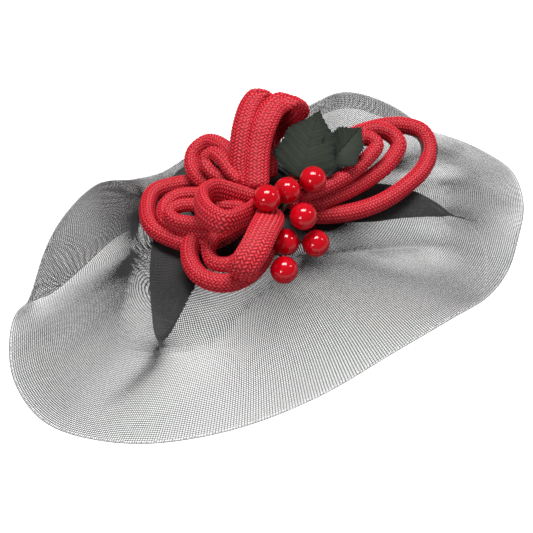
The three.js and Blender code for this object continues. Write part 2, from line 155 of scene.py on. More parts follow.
# %% Shaping helpers
def grid_mesh(name, columns, rows):
    """A flat unit grid as a mesh, and each vertex's place on it from 0 to 1."""
    bm = bmesh.new()
    bm.loops.layers.uv.new("UVMap")
    bmesh.ops.create_grid(bm, x_segments=columns, y_segments=rows, size=0.5, calc_uvs=True)
    mesh = bpy.data.meshes.new(name)
    bm.to_mesh(mesh)
    bm.free()
    flat = np.empty(len(mesh.vertices) * 3)
    mesh.vertices.foreach_get("co", flat)
    flat = flat.reshape(-1, 3)
    return mesh, flat[:, 0] + 0.5, flat[:, 1] + 0.5


def place_vertices(mesh, places, **values):
    """Moves every vertex, and keeps the named values on them as attributes."""
    mesh.vertices.foreach_set("co", np.asarray(places, dtype=float).ravel())
    for key, value in values.items():
        layer = mesh.attributes.new(key, "FLOAT", "POINT")
        layer.data.foreach_set("value", np.asarray(value, dtype=float))


def stretch_uv(mesh, across, along):
    """Sets the UV map from a value for every vertex."""
    corners = np.empty(len(mesh.loops), dtype=int)
    mesh.loops.foreach_get("vertex_index", corners)
    uv = np.stack([across[corners], along[corners]], axis=1)
    mesh.uv_layers[0].data.foreach_set("uv", uv.ravel())


def finish_piece(mesh, material, replaces, body="headpiece", weld=2e-6):
    bm = bmesh.new()
    bm.from_mesh(mesh)
    if weld:
        bmesh.ops.remove_doubles(bm, verts=bm.verts, dist=weld)
        bmesh.ops.recalc_face_normals(bm, faces=bm.faces)
    for face in bm.faces:
        face.smooth = True
    bm.to_mesh(mesh)
    bm.free()
    mesh.materials.append(material)
    piece = bpy.data.objects.new(mesh.name, mesh)
    bpy.context.collection.objects.link(piece)
    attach(piece, body)
    if replaces:
        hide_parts(*replaces)
    return piece


# %% Shader helpers
def new_paint(name):
    """A material, its tree and its Principled shader."""
    material = bpy.data.materials.new(name)
    material.use_nodes = True
    tree = material.node_tree
    return material, tree, tree.nodes["Principled BSDF"]


def add_node(tree, kind, inputs=None, **settings):
    """A node with its settings, and its inputs set or linked."""
    made = tree.nodes.new(kind)
    for key, value in settings.items():
        setattr(made, key, value)
    for key, value in (inputs or {}).items():
        if isinstance(value, bpy.types.NodeSocket):
            tree.links.new(value, made.inputs[key])
        else:
            made.inputs[key].default_value = value
    return made


def sum_of(tree, operation, *values):
    """A Math node's result."""
    return add_node(tree, "ShaderNodeMath", dict(enumerate(values)), operation=operation).outputs[0]


def blend_colours(tree, factor, low, high):
    """A colour between low and high."""
    mix = add_node(tree, "ShaderNodeMix", data_type="RGBA")
    for socket, value in zip((mix.inputs[0], mix.inputs[6], mix.inputs[7]), (factor, low, high)):
        if isinstance(value, bpy.types.NodeSocket):
            tree.links.new(value, socket)
        else:
            socket.default_value = value
    return mix.outputs[2]


# %% [markdown]
# ## A shared effect: fibre grain
# Felt, ribbon, leaf cloth and cord are all fibres. One node group gives each of them fine
# uneven fibres: a shade to vary the colour, and a normal to catch the light. The group only
# puts out values and normals, so each cloth keeps its own shader and its own amounts.

# %% Fibre grain group
fibre = bpy.data.node_groups.new("fibre_grain", "ShaderNodeTree")
for socket_name, kind, start in (
    ("Fineness", "NodeSocketFloat", 900.0),
    ("Stretch", "NodeSocketVector", (1.0, 1.0, 1.0)),
    ("Depth", "NodeSocketFloat", 0.4),
):
    made = fibre.interface.new_socket(socket_name, in_out="INPUT", socket_type=kind)
    made.default_value = start
fibre.interface.new_socket("Shade", in_out="OUTPUT", socket_type="NodeSocketFloat")
fibre.interface.new_socket("Normal", in_out="OUTPUT", socket_type="NodeSocketVector")
group_in = fibre.nodes.new("NodeGroupInput")
group_out = fibre.nodes.new("NodeGroupOutput")
where = add_node(fibre, "ShaderNodeTexCoord")
pulled = add_node(
    fibre,
    "ShaderNodeMapping",
    {"Vector": where.outputs["Object"], "Scale": group_in.outputs["Stretch"]},
)
fine = add_node(
    fibre,
    "ShaderNodeTexNoise",
    {"Vector": pulled.outputs[0], "Scale": group_in.outputs["Fineness"], "Detail": 4.0,
     "Roughness": 0.65},
)
raised = add_node(
    fibre,
    "ShaderNodeBump",
    {"Strength": group_in.outputs["Depth"], "Distance": 0.0003, "Height": fine.outputs[0]},
)
fibre.links.new(fine.outputs[0], group_out.inputs["Shade"])
fibre.links.new(raised.outputs[0], group_out.inputs["Normal"])
print("fibre group:", [item.name for item in fibre.interface.items_tree])


# %% [markdown]
# ## Felt, ribbon and tape
# These three cloths differ in how fuzzy and how shiny they are. Sheen gives black felt its
# soft bloom at the edges. Ribbon has fine ribs that run one way, and floral tape is a green
# crepe paper that is wound round the stems.


# %% Cloth paints
def cloth_paint(name, dark, light, fineness, stretch, depth, roughness, sheen):
    """A cloth whose colour and surface follow the fibre grain."""
    material, tree, skin = new_paint(name)
    grain = add_node(tree, "ShaderNodeGroup", node_tree=fibre)
    grain.inputs["Fineness"].default_value = fineness
    grain.inputs["Stretch"].default_value = stretch
    grain.inputs["Depth"].default_value = depth
    tree.links.new(blend_colours(tree, grain.outputs["Shade"], dark, light), skin.inputs["Base Color"])
    tree.links.new(grain.outputs["Normal"], skin.inputs["Normal"])
    skin.inputs["Roughness"].default_value = roughness
    skin.inputs["Sheen Weight"].default_value = sheen
    skin.inputs["Sheen Roughness"].default_value = 0.5
    skin.inputs["Specular IOR Level"].default_value = 0.25
    return material


felt_paint = cloth_paint(
    "black_felt", (0.001, 0.001, 0.001, 1), (0.008, 0.008, 0.009, 1), 1400, (1, 1, 1), 0.5, 0.95, 0.03
)
satin_paint = cloth_paint(
    "black_satin", (0.003, 0.003, 0.004, 1), (0.016, 0.016, 0.018, 1), 1500, (1, 0.12, 1), 0.25, 0.45, 0.03
)
tape_paint = cloth_paint(
    "stem_tape", (0.006, 0.022, 0.010, 1), (0.03, 0.08, 0.04, 1), 900, (0.3, 0.3, 2.5), 0.8, 0.7, 0.1
)
wire_paint = cloth_paint(
    "wire_wrap", (0.05, 0.002, 0.004, 1), (0.16, 0.01, 0.014, 1), 1500, (1, 1, 2.5), 0.8, 0.5, 0.1
)

# %% [markdown]
# ## Base
# The base is a shallow dome of blocked felt with a lining inside and a bound rim. It is a
# turned shape, so one profile is drawn and spun round the Z axis. `spin` with `use_merge`
# closes the full turn, and the ends that lie on the axis close themselves when welded.

# %% Turned pieces
RIM_RADIUS = 42 * MM
DOME = 5 * MM


def dome_height(radius):
    """Height of the dome above its rim's plane."""
    return DOME * (1 - (radius / RIM_RADIUS) ** 2)


def turned(name, profile, material, replaces, steps=96, centre=(0, 0, 0)):
    """Spins a profile of (radius, height) points round an upright axis."""
    bm = bmesh.new()
    points = [bm.verts.new((centre[0] + r, centre[1], centre[2] + z)) for r, z in profile]
    edges = [bm.edges.new(pair) for pair in zip(points, points[1:])]
    bmesh.ops.spin(
        bm,
        geom=points + edges,
        cent=centre,
        axis=(0, 0, 1),
        angle=math.tau,
        steps=steps,
        use_merge=True,
    )
    mesh = bpy.data.meshes.new(name)
    bm.to_mesh(mesh)
    bm.free()
    return finish_piece(mesh, material, replaces, weld=1e-5)


def dome_profile(radius, underside, thickness, steps=14):
    """Out along the underside, round the rim and back to the crown."""
    under = [(radius * i / steps, underside + dome_height(radius * i / steps)) for i in range(steps + 1)]
    half = thickness / 2
    rim_z = underside + dome_height(radius) + half
    turns = [math.pi * i / 6 - math.pi / 2 for i in range(1, 6)]
    rim = [(radius + half * 0.5 * math.cos(a), rim_z + half * math.sin(a)) for a in turns]
    over = [(r, z + thickness) for r, z in reversed(under)]
    return under + rim + over


def ring_profile(radius, section, height, sides=14):
    """A round section, closed, at a distance from the axis."""
    turns = [math.tau * i / sides for i in range(sides + 1)]
    return [(radius + section * math.cos(a), height + section * math.sin(a)) for a in turns]


turned("lining", dome_profile(41 * MM, 0, 0.8 * MM), satin_paint, ["base_lining"])
turned("felt_base", dome_profile(RIM_RADIUS, 1.1 * MM, 2 * MM), felt_paint, ["base_shell"])
turned("rim_binding", ring_profile(43.9 * MM, 1.6 * MM, 1.6 * MM), satin_paint,
       ["base_binding"])
pad_low = 8.4 * MM
pad_profile = [(0, pad_low), (14.6 * MM, pad_low), (15.6 * MM, pad_low + 0.3 * MM),
               (16 * MM, pad_low + 0.8 * MM), (15.5 * MM, pad_low + 1.3 * MM),
               (14.4 * MM, pad_low + 1.5 * MM), (0, pad_low + 1.5 * MM)]
turned("trim_pad_felt", pad_profile, felt_paint, ["trim_pad"], steps=64,
       centre=(0, -11 * MM, 0))
stem_profile = [(0, 10.6 * MM), (3.2 * MM, 10.6 * MM)]
stem_profile += [((3.9 if i % 2 else 3.55) * MM, (11 + i * 0.6) * MM) for i in range(17)]
stem_profile += [(3.1 * MM, 21 * MM), (0, 21 * MM)]
turned("stem_bundle", stem_profile, tape_paint, ["stem_binding"], steps=40,
       centre=(5 * MM, -37 * MM, 0))

# %% [markdown]
# ## Smooth paths
# Cords, wires and threads follow a curve through a few chosen points. This is a centripetal
# Catmull-Rom curve: it passes through every point and never makes a sharp loop between two
# that are close together. The curve is then measured and cut into equal steps.


# %% Paths
def curve_through(points, step):
    """Points along a smooth open curve, a step apart, and its length."""
    knots = np.array(points, dtype=float)
    knots = np.vstack([2 * knots[0] - knots[1], knots, 2 * knots[-1] - knots[-2]])
    pieces = []
    s = np.linspace(0, 1, 40, endpoint=False)[:, None]
    for a, b, c, d in zip(knots, knots[1:], knots[2:], knots[3:]):
        t0, t1, t2 = (math.sqrt(np.linalg.norm(y - x)) for x, y in ((a, b), (b, c), (c, d)))
        leave = ((b - a) / t0 - (c - a) / (t0 + t1) + (c - b) / t1) * t1
        arrive = ((c - b) / t1 - (d - b) / (t1 + t2) + (d - c) / t2) * t1
        pieces.append(
            b + leave * s + (3 * (c - b) - 2 * leave - arrive) * s**2
            + (leave + arrive - 2 * (c - b)) * s**3
        )
    line = np.vstack(pieces + [knots[-2][None]])
    gone = np.concatenate([[0], np.cumsum(np.linalg.norm(np.diff(line, axis=0), axis=1))])
    count = max(int(round(gone[-1] / step)), 4)
    marks = np.linspace(0, gone[-1], count + 1)
    return np.stack([np.interp(marks, gone, line[:, k]) for k in range(3)], axis=1), gone[-1]


def unit(vectors):
    """The same directions, one unit long."""
    return vectors / np.maximum(np.linalg.norm(vectors, axis=-1, keepdims=True), 1e-12)


def cord_frames(line, knots):
    """Along each step: the cord's direction, its thin side and its wide side."""
    along = unit(np.gradient(line, axis=0))
    centre = knots.mean(axis=0)
    face = np.cross(knots - centre, np.roll(knots, -1, axis=0) - centre).sum(axis=0)
    wide = unit(face - along * (along @ face)[:, None])
    return along, np.cross(wide, along), wide


def rolled(name, points, width, thickness, step, sides, relief=None, depth=0.0, bulge=None):
    """A grid rolled round a path, closed at both ends. relief gives a height from 0 to 1."""
    knots = np.array(points, dtype=float)
    line, length = curve_through(knots, step)
    rows = len(line) - 1
    along, thin, wide = cord_frames(line, knots)
    mesh, round_it, down = grid_mesh(name, sides, rows)
    row = np.rint(down * rows).astype(int)
    angle = round_it * math.tau
    from_end = np.minimum(row, rows - row) * (length / rows)
    nose = np.sqrt(np.clip(1 - (1 - np.clip(from_end / (thickness / 2), 0, 1)) ** 2, 0, 1))
    size = np.ones(rows + 1) if bulge is None else bulge(np.linspace(0, 1, rows + 1))
    half_wide = width / 2 * size[row]
    half_thin = thickness / 2
    out = unit(thin[row] * (np.cos(angle) / half_thin)[:, None]
               + wide[row] * (np.sin(angle) / half_wide)[:, None])
    place = (line[row] + thin[row] * (np.cos(angle) * half_thin * nose)[:, None]
             + wide[row] * (np.sin(angle) * half_wide * nose)[:, None])
    height = np.zeros(len(row)) if relief is None else relief(round_it, down * length)
    place += out * ((height - 0.6) * depth * nose)[:, None]
    place_vertices(mesh, place, crown=height)
    stretch_uv(mesh, round_it, down * length)
    return mesh, length


# %% [markdown]
# ## The braided cord
# The loops are a tubular braid: two sets of flat strands wind round it in opposite directions,
# and each strand passes over two and under two. That gives slanted plump cells in a chevron
# pattern. The cells are real relief here, because their tops catch the light and the gaps
# between them go dark, and both show in the outline. A value from 0 in a gap to 1 on a cell's
# crown also goes to the shader, which paints shade into the gaps and a highlight on the crowns.

# %% Braid relief
CELL = 1.8 * MM


def braid_relief(strands):
    """The height of a two-over, two-under braid with that many strands each way."""

    def height(round_it, gone):
        a = round_it * strands
        b = gone / CELL
        p = a + b + 1000
        q = a - b + 1000
        i = np.floor(p)
        j = np.floor(q)
        fp = p - i
        fq = q - j
        turn = np.mod(i + j, 4)
        p_over = turn < 2
        across = np.where(p_over, fp, fq)
        float_at = np.where(p_over, (turn + fq) / 2, (turn - 2 + fp) / 2)
        ridge = np.sin(math.pi * across) ** 0.6
        crown = np.sin(math.pi * np.clip(float_at, 0.0, 1.0)) ** 0.45
        return ridge * (0.25 + 0.75 * crown)

    return height


# %% Braid paint
def braid_paint():
    """Red with painted shade in the gaps, a painted highlight on the cells' crowns, fine threads, and
    flecks of painted sheen on the strands.
    """
    material, tree, skin = new_paint("red_braid")
    crown = add_node(tree, "ShaderNodeAttribute", attribute_name="crown").outputs["Fac"]
    uv = add_node(tree, "ShaderNodeTexCoord").outputs["UV"]
    apart = add_node(tree, "ShaderNodeSeparateXYZ", {0: uv})
    slope = sum_of(tree, "MULTIPLY", apart.outputs[1], 1 / CELL)
    turnwise = sum_of(tree, "MULTIPLY", apart.outputs[0], 14.0)
    threads = sum_of(tree, "SINE", sum_of(tree, "MULTIPLY", sum_of(tree, "ADD", slope, turnwise), 25.0))
    grain = add_node(tree, "ShaderNodeGroup", node_tree=fibre)
    grain.inputs["Fineness"].default_value = 1300
    grain.inputs["Depth"].default_value = 0.3
    patches = add_node(
        tree, "ShaderNodeTexNoise",
        {"Vector": add_node(tree, "ShaderNodeTexCoord").outputs["Object"], "Scale": 90.0},
    ).outputs[0]
    # The ramp paints light and shade by the relief: near black red in the gaps is painted shade, the
    # cord's own red is on the body of each cell, and pale pink on the crowns is a painted highlight.
    ramp = add_node(tree, "ShaderNodeValToRGB", {0: crown})
    stops = ramp.color_ramp.elements
    stops[0].position = 0.14
    stops[0].color = (0.012, 0.0, 0.0005, 1)
    stops[1].position = 1.0
    stops[1].color = (0.98, 0.1, 0.14, 1)
    body = stops.new(0.7)
    body.color = (0.72, 0.006, 0.018, 1)
    groove_shade = stops.new(0.44)
    groove_shade.color = (0.2, 0.0008, 0.003, 1)
    # Pale pink flecks where the fibre grain is high: painted sheen on the strands.
    pale = blend_colours(tree, sum_of(tree, "MULTIPLY", grain.outputs["Shade"], 0.16),
                         ramp.outputs[0], (0.9, 0.09, 0.13, 1))
    shade = blend_colours(tree, sum_of(tree, "MULTIPLY", patches, 0.25), pale, (0.36, 0.002, 0.012, 1))
    tree.links.new(shade, skin.inputs["Base Color"])
    fine_threads = add_node(
        tree, "ShaderNodeBump",
        {"Strength": 0.35, "Distance": 0.00012, "Height": threads,
         "Normal": grain.outputs["Normal"]},
    )
    tree.links.new(fine_threads.outputs[0], skin.inputs["Normal"])
    skin.inputs["Roughness"].default_value = 0.34
    skin.inputs["Specular IOR Level"].default_value = 0.3
    return material


red_braid = braid_paint()

# %% [markdown]
# ## The loops
# Each loop is one length of cord that leaves the middle of the flower, bends round and comes
# back. Some loops are pressed flat and read as a wide band. The numbers are each loop's width,
# its thickness and the points on its path, in millimetres.

# %% Loop paths
LOOPS = {
    "left_outer": (9.4, 8.6, [[-3, -16, 19], [-13, -2, 19], [-24, 7, 18], [-39, 11, 17],
        [-50, 9, 17], [-57, -2, 17], [-59, -17, 17], [-52, -29, 17], [-41, -38, 17],
        [-26, -39, 18], [-10, -31, 19]]),
    "left_middle": (8.1, 7.8, [[-6, -25, 26], [-18, -14, 25], [-30, -8, 24], [-41, -6, 24],
        [-49, -10, 23], [-52, -19, 23], [-46, -29, 23], [-35, -37, 23], [-17, -36, 24]]),
    "left_inner": (7.2, 6.8, [[-12, -37, 33], [-24, -28, 31], [-35, -22, 30], [-44, -20, 30],
        [-50, -22, 29], [-49, -28, 29], [-38, -35, 29], [-27, -38, 29], [-16, -39, 30]]),
    "upper_left_outer": (10.6, 9, [[-4, -21, 25], [-16, -10, 24], [-24, 0, 25], [-26, 11, 27],
        [-22, 19, 30], [-14, 20, 34], [-9, 11, 37], [-6, -1, 36], [-5, -14, 33], [-2, -22, 28]]),
    "upper_left_inner": (7.9, 6.9, [[-5, -24, 33], [-13, -13, 33], [-20, -4, 35], [-21, 3, 38],
        [-17, 3, 41], [-14, -5, 42], [-12, -14, 40], [-9, -22, 38]]),
    "centre_left": (13.8, 6.8, [[-3, -32, 30], [-14, -27, 34], [-26, -25, 40], [-35, -32, 44],
        [-37, -46, 46], [-31, -56, 46], [-18, -51, 42], [-8, -41, 36]]),
    "lower_outer": (10.2, 9.3, [[-8, -27, 20], [-22, -26, 20], [-36, -31, 20], [-44, -39, 19],
        [-48, -51, 18], [-46, -62, 17], [-38, -70, 17], [-27, -71, 17], [-16, -66, 18],
        [-7, -56, 19], [-4, -45, 22]]),
    "lower_inner": (8.3, 7.4, [[-12, -40, 27], [-24, -43, 26], [-33, -45, 25], [-38, -51, 24],
        [-38, -60, 23], [-31, -65, 24], [-22, -62, 25], [-13, -54, 27]]),
    "lower_right": (15.4, 6.6, [[-3, -38, 32], [-4, -53, 40], [-13, -67, 44], [-21, -76, 42],
        [-28, -80, 36], [-29, -78, 29], [-22, -71, 26], [-14, -63, 26], [-8, -53, 27]]),
    "top_left": (12.3, 7, [[-7, -24, 34], [-8, -15, 41], [-5, -8, 50], [0, 0, 59], [7, 8, 65],
        [13, 11, 67], [17, 9, 61], [17, 9, 47], [13, 6, 33], [9, -2, 25], [4, -11, 21]]),
    "top_right": (13.2, 6.6, [[-3, -29, 38], [0, -21, 45], [4, -13, 53], [10, -6, 61],
        [19, 1, 66], [27, 2, 66], [32, 2, 60], [28, 6, 50], [19, 10, 39], [15, 5, 29],
        [10, -6, 21]]),
    "right_outer": (9.8, 9, [[19, -35, 18], [31, -40, 17], [48, -43, 17], [66, -41, 17],
        [84, -34, 18], [98, -25, 19], [106, -14, 22], [105, -5, 27], [95, 1, 30], [79, 3, 31],
        [61, 1, 30], [40, -8, 27], [22, -17, 23], [10, -20, 19]]),
    "right_middle": (9.8, 8.8, [[13, -32, 26], [26, -37, 25], [44, -35, 25], [63, -29, 25],
        [78, -22, 27], [86, -15, 31], [84, -8, 34], [75, -4, 37], [60, -8, 37], [41, -16, 34],
        [23, -23, 29], [10, -25, 24]]),
    "right_inner": (8.8, 8, [[17, -38, 34], [31, -37, 34], [47, -33, 35], [62, -26, 37],
        [70, -20, 40], [66, -15, 42], [55, -17, 42], [41, -23, 39], [25, -28, 34]]),
}


# %% Make the loops
def make_loop(name, width, thickness, points):
    """One braided loop; the flat ones get more strands, because they are wider round."""
    around = math.pi * (width + thickness) / 2
    strands = 2 * round(around * MM / CELL / 2)
    mesh, length = rolled(
        "braid_" + name,
        np.array(points) * MM,
        width * MM,
        thickness * MM,
        step=0.4 * MM,
        sides=strands * 4,
        relief=braid_relief(strands),
        depth=1.0 * MM,
    )
    finish_piece(mesh, red_braid, ["loop_" + name])
    return length


loop_lengths = {name: make_loop(name, *shape) for name, shape in LOOPS.items()}
print("loop lengths, mm:", {name: round(length / MM) for name, length in loop_lengths.items()})

# %% [markdown]
# ## Berries
# Each berry is a lacquered ball on a wrapped wire. A real one is dipped, so it isn't a perfect
# sphere: it is drawn out a little where the wire goes in. A clear coat over a deep red gives
# the hard bright reflections, and the red darkens where the lacquer is thick.

# %% Berry paint
berry_paint, berry_tree, berry_skin = new_paint("berry_lacquer")
clouds = add_node(
    berry_tree, "ShaderNodeTexNoise",
    {"Vector": add_node(berry_tree, "ShaderNodeTexCoord").outputs["Object"], "Scale": 160.0,
     "Detail": 3.0},
)
berry_tree.links.new(
    blend_colours(berry_tree, clouds.outputs[0], (0.42, 0.0, 0.004, 1), (0.66, 0.0, 0.012, 1)),
    berry_skin.inputs["Base Color"],
)
dimples = add_node(berry_tree, "ShaderNodeBump",
                   {"Strength": 0.06, "Distance": 0.0004, "Height": clouds.outputs[0]})
berry_tree.links.new(dimples.outputs[0], berry_skin.inputs["Normal"])
berry_skin.inputs["Roughness"].default_value = 0.16
berry_skin.inputs["Specular IOR Level"].default_value = 0.15
berry_skin.inputs["Coat Weight"].default_value = 0.7
berry_skin.inputs["Coat Roughness"].default_value = 0.03

# %% Berry places
BERRY_RADIUS = 7.3 * MM
BERRIES = [
    ([-5, -50.5, 50], -150, 22),
    ([9, -43.5, 45], -45, 22),
    ([25, -40, 45], 0, 22),
    ([12, -60, 40], -98, 22),
    ([1.5, -61.5, 26], -98, 18.5),
    ([17, -66, 24], -67, 16),
    ([-5, -77, 22], -106, 14.5),
]
STEM = np.array([5, -37, 21.0])


def wire_points(place, bearing, height, stop):
    """A wire's path, in millimetres: out of the stem bundle, then towards its berry or leaf."""
    end = np.array(place, dtype=float)
    angle = math.radians(bearing)
    rises = height > STEM[2]
    spread = 2.6 if rises else 5.15
    start = np.array([STEM[0] + spread * math.cos(angle), STEM[1] + spread * math.sin(angle), height])
    bend = (start + end) / 2
    bend[2] = (height + end[2]) / 2 + 2 if rises else height - 1
    stop_at = end - unit(end - bend) * stop
    s = np.linspace(0, 1, 8)[:, None]
    return start * (1 - s) ** 2 + bend * 2 * s * (1 - s) + stop_at * s**2


# %% Make the berries and their wires
def make_berry(number, place, bearing, height):
    """A dipped ball, drawn out where its wire goes in, and the wire."""
    centre = Vector(place) * MM
    wire = wire_points(place, bearing, height, 7.6)
    socket = (Vector(wire[-1]) * MM - centre).normalized()
    bm = bmesh.new()
    bmesh.ops.create_uvsphere(bm, u_segments=56, v_segments=36, radius=BERRY_RADIUS)
    bmesh.ops.rotate(bm, verts=bm.verts, cent=(0, 0, 0),
                     matrix=Vector((0, 0, 1)).rotation_difference(socket).to_matrix())
    for vert in bm.verts:
        near = max(vert.co.normalized().dot(socket), 0)
        vert.co += socket * (0.35 * MM * near**24)
    bmesh.ops.translate(bm, verts=bm.verts, vec=centre)
    mesh = bpy.data.meshes.new(f"lacquered_berry_{number}")
    bm.to_mesh(mesh)
    bm.free()
    finish_piece(mesh, berry_paint, [f"berry_{number}"], weld=0)
    thread, length = rolled(f"wrapped_wire_{number}", wire * MM, 1.1 * MM, 1.1 * MM, 0.4 * MM, 10)
    finish_piece(thread, wire_paint, [f"berry_wire_{number}"])
    return length


wire_lengths = [make_berry(n + 1, *berry) for n, berry in enumerate(BERRIES)]
print("berry wires, mm:", [round(length / MM) for length in wire_lengths])

# %% [markdown]
# ## Leaves
# The leaves are stamped from stiffened cloth: saw-toothed edges, a midrib that folds them and
# side veins pressed in. A grid is cut to the leaf's outline by squeezing its width row by row,
# folded along the middle, and given its thickness by a Solidify modifier.


# %% Leaf paint
def leaf_cloth():
    """Dark green, paler in the middle of the leaf and darker along the veins."""
    material, tree, skin = new_paint("leaf_cloth")
    vein = add_node(tree, "ShaderNodeAttribute", attribute_name="vein").outputs["Fac"]
    middle = add_node(tree, "ShaderNodeAttribute", attribute_name="middle").outputs["Fac"]
    grain = add_node(tree, "ShaderNodeGroup", node_tree=fibre)
    grain.inputs["Fineness"].default_value = 1500
    grain.inputs["Depth"].default_value = 0.45
    cloudy = add_node(
        tree, "ShaderNodeTexNoise",
        {"Vector": add_node(tree, "ShaderNodeTexCoord").outputs["Object"], "Scale": 130.0,
         "Detail": 3.0},
    ).outputs[0]
    paler = sum_of(tree, "MULTIPLY", middle, sum_of(tree, "ADD", cloudy, 0.35))
    green = blend_colours(tree, paler, (0.002, 0.006, 0.0025, 1), (0.03, 0.04, 0.023, 1))
    veined = blend_colours(tree, sum_of(tree, "MULTIPLY", vein, 0.3), green, (0.004, 0.011, 0.006, 1))
    fibres = blend_colours(tree, sum_of(tree, "MULTIPLY", grain.outputs["Shade"], 0.3), veined,
                           (0.018, 0.027, 0.015, 1))
    tree.links.new(fibres, skin.inputs["Base Color"])
    tree.links.new(grain.outputs["Normal"], skin.inputs["Normal"])
    skin.inputs["Roughness"].default_value = 0.75
    skin.inputs["Sheen Weight"].default_value = 0.2
    skin.inputs["Specular IOR Level"].default_value = 0.3
    return material


leaf_paint = leaf_cloth()

# %% Leaf shape
LEAVES = {
    "leaf_broad": ([21, -30, 39], [42, -5, 61], [-0.35, -0.5, 0.8], 33, 0.16, 95, 22),
    "leaf_side": ([39, -28, 42], [63, -15, 51], [-0.2, -0.6, 0.75], 22, 0.5, 45, 22),
}
TEETH = 17


def make_leaf(name, place, tip, facing, width, fold, bearing, height):
    """A folded, veined, saw-toothed leaf and the taped wire under it."""
    start = np.array(place, dtype=float) * MM
    run = np.array(tip, dtype=float) * MM - start
    length = np.linalg.norm(run)
    along = run / length
    across = unit(np.cross(along, np.array(facing, dtype=float)))
    up = np.cross(across, along)
    mesh, side, far = grid_mesh("cloth_" + name, 48, 150)
    side = side * 2 - 1
    swell = width * MM / 2 * np.sin(math.pi * far**0.66) ** 0.95 * (1.04 - 0.1 * np.cos(far * 14))
    tooth = np.mod(far * TEETH, 1)
    outline = np.maximum(swell - 1.15 * MM * (1 - tooth) ** 1.2 * np.sin(math.pi * far) ** 0.3, 0.25 * MM)
    x = side * outline
    lean = np.abs(x) * 0.55
    wave = np.mod((far * length - lean) / (length / 8), 1)
    vein = np.exp(-(((wave - 0.5) / 0.07) ** 2)) * (1 - np.abs(side) ** 3)
    rib = np.exp(-((x / (0.5 * MM)) ** 2))
    z = np.abs(x) * math.tan(fold) - 0.5 * MM * np.abs(side) ** 3 + 0.5 * MM * np.sin(far * 9) * side
    z = z - 0.3 * MM * vein - 0.45 * MM * rib + 0.5 * MM * np.sin(wave * math.tau) * np.abs(side) * 0.35
    y = far * length
    spot = start + across * x[:, None] + along * y[:, None] + up * z[:, None]
    inside = (1 - np.abs(side) ** 1.5) * np.sin(math.pi * np.clip(far, 0, 1)) ** 0.7
    place_vertices(mesh, spot, vein=np.maximum(vein, rib), middle=inside)
    leaf = finish_piece(mesh, leaf_paint, [name], weld=1e-7)
    cloth = leaf.modifiers.new("thickness", "SOLIDIFY")
    cloth.thickness = 0.4 * MM
    cloth.offset = 0
    wire = wire_points(place, bearing, height, 1.2)
    stalk, _ = rolled(name + "_stalk", wire * MM, 1.1 * MM, 1.1 * MM, 0.4 * MM, 10)
    finish_piece(stalk, tape_paint, [name + "_stem"])
    return length, width * MM


for leaf_name, shape in LEAVES.items():
    leaf_long, leaf_wide = make_leaf(leaf_name, *shape)
    print(leaf_name, "is", round(leaf_long / MM), "by", round(leaf_wide / MM), "mm flat")

# %% [markdown]
# ## Gathered edge and clip
# The brim's inner edge is gathered on to the base under a twisted cord. Under the lining sits
# a sprung beak clip, which is how such a base holds on to the hair. Its plate, jaw and pin
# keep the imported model's exact shape and get a brushed finish; the plain sleeve that stood for
# the spring becomes a real coil of wire, with one leg that pushes on the jaw's tail.

# %% Steel paint
steel_paint, steel_tree, steel_skin = new_paint("spring_steel")
streaks = add_node(steel_tree, "ShaderNodeGroup", node_tree=fibre)
streaks.inputs["Fineness"].default_value = 700
streaks.inputs["Stretch"].default_value = (0.06, 1.5, 1.5)
streaks.inputs["Depth"].default_value = 0.15
steel_tree.links.new(
    blend_colours(steel_tree, streaks.outputs["Shade"], (0.38, 0.38, 0.39, 1), (0.66, 0.66, 0.67, 1)),
    steel_skin.inputs["Base Color"],
)
steel_tree.links.new(
    sum_of(steel_tree, "ADD", sum_of(steel_tree, "MULTIPLY", streaks.outputs["Shade"], 0.25), 0.16),
    steel_skin.inputs["Roughness"],
)
steel_tree.links.new(streaks.outputs["Normal"], steel_skin.inputs["Normal"])
steel_skin.inputs["Metallic"].default_value = 1.0
for steel_name in ("clip_plate", "clip_jaw", "clip_pin"):
    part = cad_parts[steel_name]
    part.data.materials.clear()
    part.data.materials.append(steel_paint)
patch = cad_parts["clip_patch"]
patch.data.materials.clear()
patch.data.materials.append(felt_paint)

# %% Spring coil
PIN = np.array([8.0, 0.0, -1.6])
turns = np.linspace(0, 4.5 * math.tau, 120)
coil = np.stack([PIN[0] + 1.55 * np.cos(turns), -1.45 + 2.9 * turns / turns[-1],
                 PIN[2] + 1.55 * np.sin(turns)], axis=1)
leg = np.array([[PIN[0] + 8.5, 1.45, PIN[2] + 1.55], [PIN[0] + 3.5, 1.45, PIN[2] + 1.56]])
end_coil = coil[::-1][np.argmax(coil[::-1][:, 2] > PIN[2] + 1.54):]
spring_mesh, spring_length = rolled("coiled_spring", np.vstack([leg, end_coil]) * MM,
                                    0.6 * MM, 0.6 * MM, 0.25 * MM, 10)
finish_piece(spring_mesh, steel_paint, ["clip_spring"])
print("spring wire, mm:", round(spring_length / MM))

# %% Gather cord
GATHER_RADIUS = 29.5
gather_low, gather_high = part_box("gather_band")
gather_z = (gather_low[2] + gather_high[2]) / 2 / MM


def twist_ridges(round_it, gone):
    """Three plies twisted together."""
    return np.abs(np.sin((round_it * 3 + gone / (5 * MM)) * math.pi)) ** 0.6


turns = np.linspace(0, math.tau * 0.999, 90)
ring_points = np.stack([GATHER_RADIUS * np.cos(turns), GATHER_RADIUS * np.sin(turns),
                        np.full(90, gather_z)], axis=1)
gather_mesh, gather_length = rolled("gather_cord", ring_points * MM, 2.4 * MM, 2.4 * MM, 0.6 * MM,
                                    18, twist_ridges, 0.3 * MM)
finish_piece(gather_mesh, satin_paint, ["gather_band"])
print("gather cord, mm:", round(gather_length / MM))

